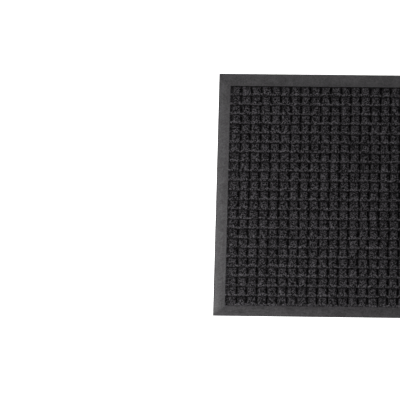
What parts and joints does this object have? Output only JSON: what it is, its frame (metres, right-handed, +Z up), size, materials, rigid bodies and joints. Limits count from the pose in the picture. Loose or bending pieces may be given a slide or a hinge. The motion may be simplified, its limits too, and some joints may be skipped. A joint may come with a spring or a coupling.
{
  "type": "door mat",
  "caption": "Rectangular entrance mat: a dark waffle-pattern needle-punched carpet face over a reinforced rubber backing, with a bevelled rubber border.",
  "frame": {"origin": "centre of the underside, on the floor", "axes": "+Z up through the pile, +X along the long side, front edge towards -Y"},
  "size_m": [0.6858, 0.4572, 0.0095],
  "materials": {
    "backing_rubber": "moulded, matt",
    "nub_rubber": "moulded, matt",
    "border_rubber": "moulded with a fine grain, slightly glossy",
    "polyester_scrim": "plain woven",
    "needled_pile": "coarse needle-punched fibre, charcoal"
  },
  "bodies": {
    "root": {"backing_sheet": "backing_rubber", "carrier_scrim": "polyester_scrim", "nub_sheet": "nub_rubber", "waffle_carpet": "needled_pile", "border_front": "border_rubber", "border_right": "border_rubber", "border_back": "border_rubber", "border_left": "border_rubber"}
  },
  "joints": []
}
